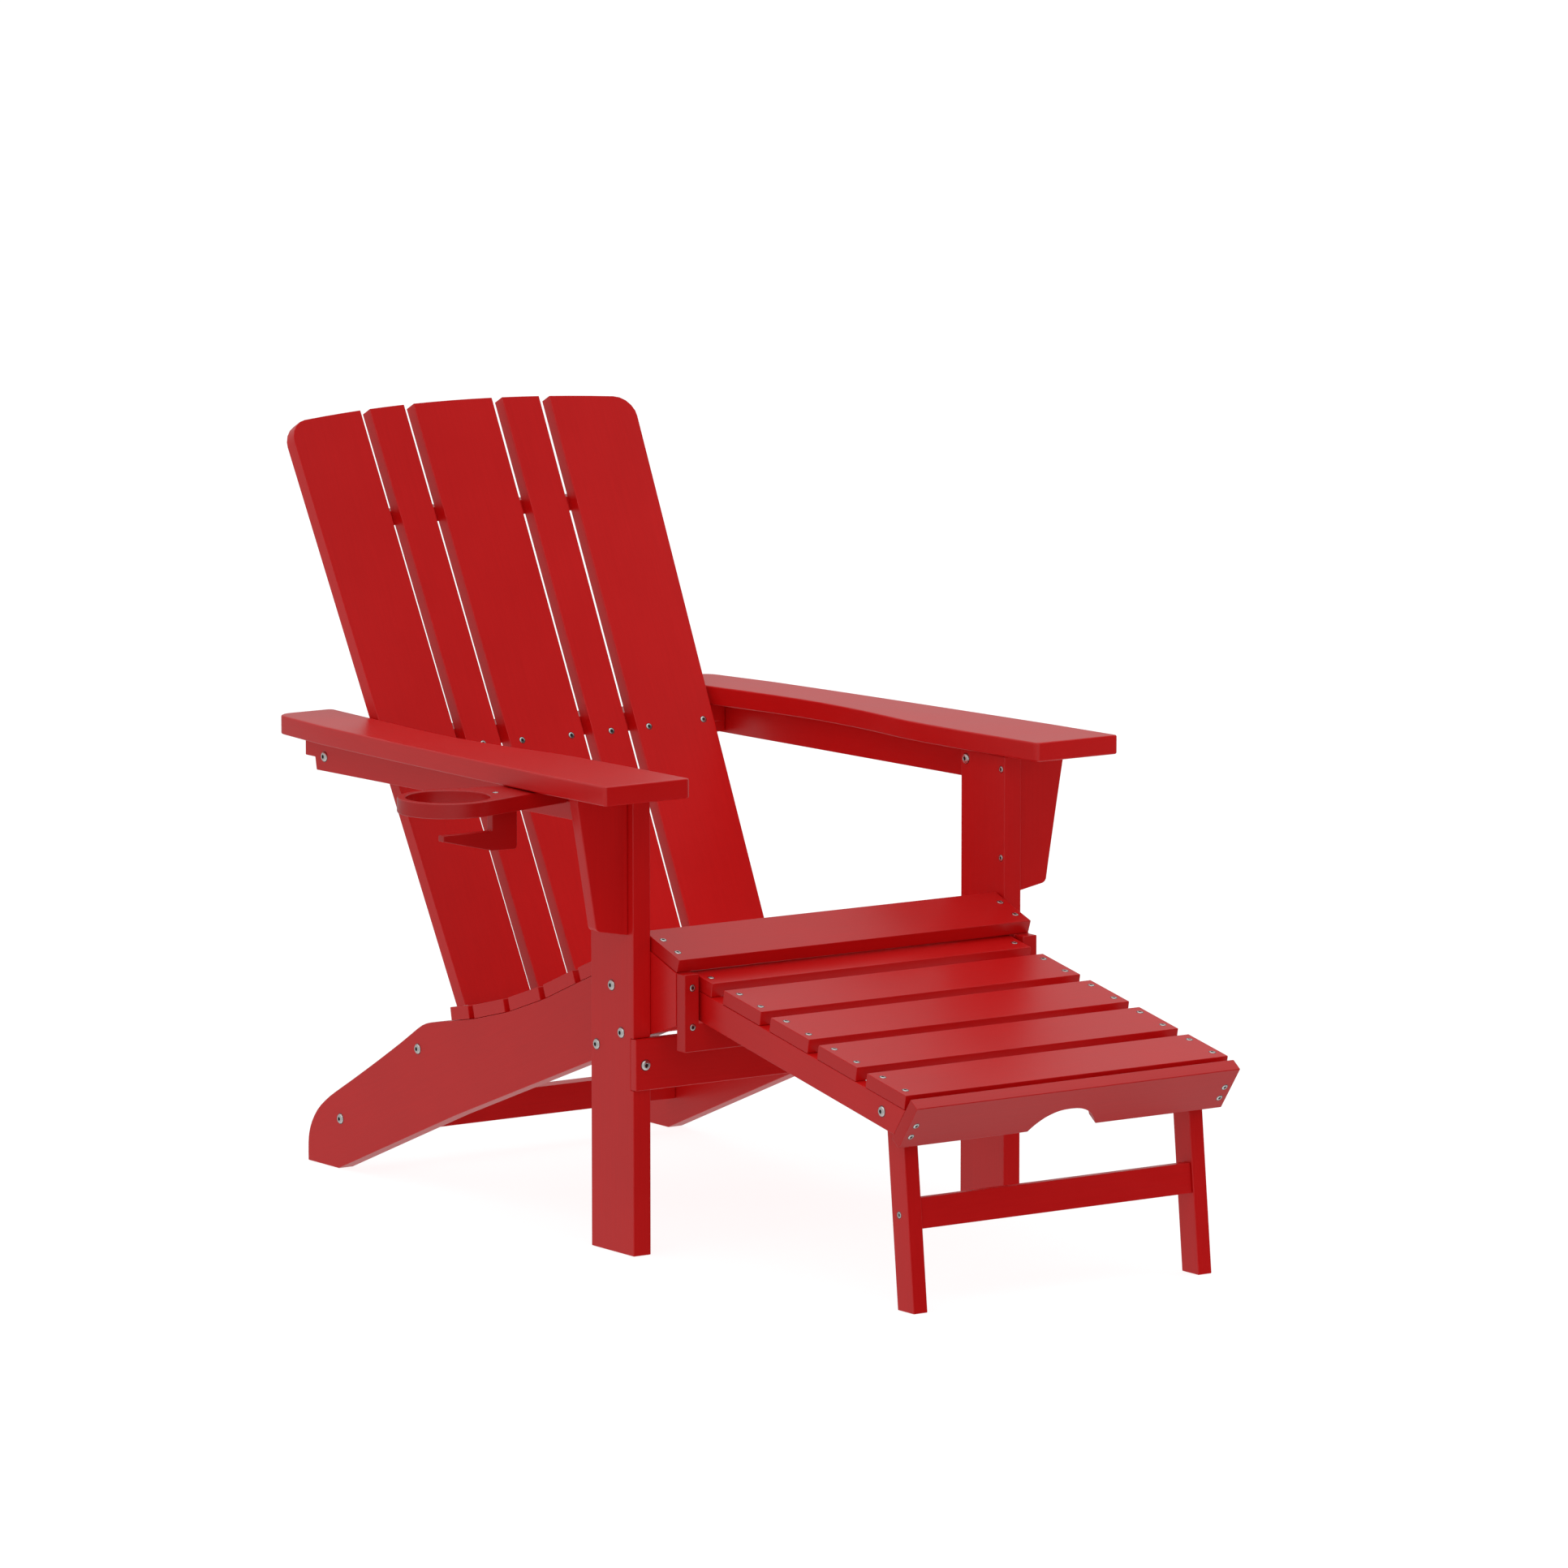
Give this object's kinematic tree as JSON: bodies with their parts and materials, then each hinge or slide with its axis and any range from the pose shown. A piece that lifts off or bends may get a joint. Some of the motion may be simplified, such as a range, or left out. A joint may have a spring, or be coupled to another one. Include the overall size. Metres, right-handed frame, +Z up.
{
  "type": "adirondack chair",
  "caption": "Slatted outdoor chair with a fanned reclined back, wide arms, a cup holder ring and a pull-out ottoman on folding legs.",
  "frame": {"origin": "on the floor, under the middle of the bounding box with the ottoman pulled out", "axes": "+Z up, +Y from the ottoman towards the back rest, +X across the chair, away from the cup holder"},
  "size_m": [0.8606, 1.2796, 0.8889],
  "materials": {
    "red_lumber": "satin, fine grain along the boards",
    "bolt_steel": "stainless, satin"
  },
  "bodies": {
    "chair": {"arm_bracket_left": "red_lumber", "arm_bracket_right": "red_lumber", "arm_cross_board": "red_lumber", "arm_left": "red_lumber", "arm_rail_left": "red_lumber", "arm_rail_right": "red_lumber", "arm_right": "red_lumber", "back_slat_centre": "red_lumber", "back_slat_inner_left": "red_lumber", "back_slat_inner_right": "red_lumber", "back_slat_outer_left": "red_lumber", "back_slat_outer_right": "red_lumber", "cup_rest": "red_lumber", "cup_ring": "red_lumber", "front_leg_left": "red_lumber", "front_leg_right": "red_lumber", "front_stretcher": "red_lumber", "leg_bolt_left_1": "bolt_steel", "leg_bolt_left_2": "bolt_steel", "leg_bolt_left_3": "bolt_steel", "leg_bolt_right_1": "bolt_steel", "leg_bolt_right_2": "bolt_steel", "leg_bolt_right_3": "bolt_steel", "lower_back_rail": "red_lumber", "rear_stretcher": "red_lumber", "seat_apron": "red_lumber", "seat_slat_1": "red_lumber", "seat_slat_2": "red_lumber", "seat_slat_3": "red_lumber", "seat_slat_4": "red_lumber", "seat_slat_5": "red_lumber", "seat_slat_6": "red_lumber", "seat_slat_front": "red_lumber", "stringer_bolt_left_1": "bolt_steel", "stringer_bolt_left_2": "bolt_steel", "stringer_bolt_right_1": "bolt_steel", "stringer_bolt_right_2": "bolt_steel", "stringer_left": "red_lumber", "stringer_right": "red_lumber", "upper_back_rail": "red_lumber"},
    "glide": {"glide_plate_left": "red_lumber", "glide_plate_right": "red_lumber"},
    "ottoman": {"ottoman_rail_left": "red_lumber", "ottoman_rail_right": "red_lumber", "ottoman_slat_1": "red_lumber", "ottoman_slat_2": "red_lumber", "ottoman_slat_3": "red_lumber", "ottoman_slat_4": "red_lumber", "ottoman_slat_5": "red_lumber", "ottoman_apron": "red_lumber", "pivot_bolt_left": "bolt_steel", "pivot_bolt_right": "bolt_steel"},
    "ottoman_legs": {"ottoman_leg_left": "red_lumber", "ottoman_leg_right": "red_lumber", "ottoman_leg_stretcher": "red_lumber"}
  },
  "joints": [
    {"name": "ottoman_tilt", "type": "hinge", "parent": "chair", "child": "glide", "pos_m": [0.07225, -0.22204, 0.2733], "axis": [-1, 0, 0], "range_deg": [0, 29]},
    {"name": "ottoman_slide", "type": "slide", "parent": "glide", "child": "ottoman", "axis": [0, 0.9811, 0.1933], "range_m": [0, 0.24]},
    {"name": "ottoman_leg_fold", "type": "hinge", "parent": "ottoman", "child": "ottoman_legs", "pos_m": [0.07225, -0.57282, 0.22403], "axis": [1, 0, 0], "range_deg": [0, 106]}
  ],
  "couplings": [
    {"joint": "ottoman_tilt", "follows": "ottoman_slide", "rad_per_m": 2.1}
  ]
}
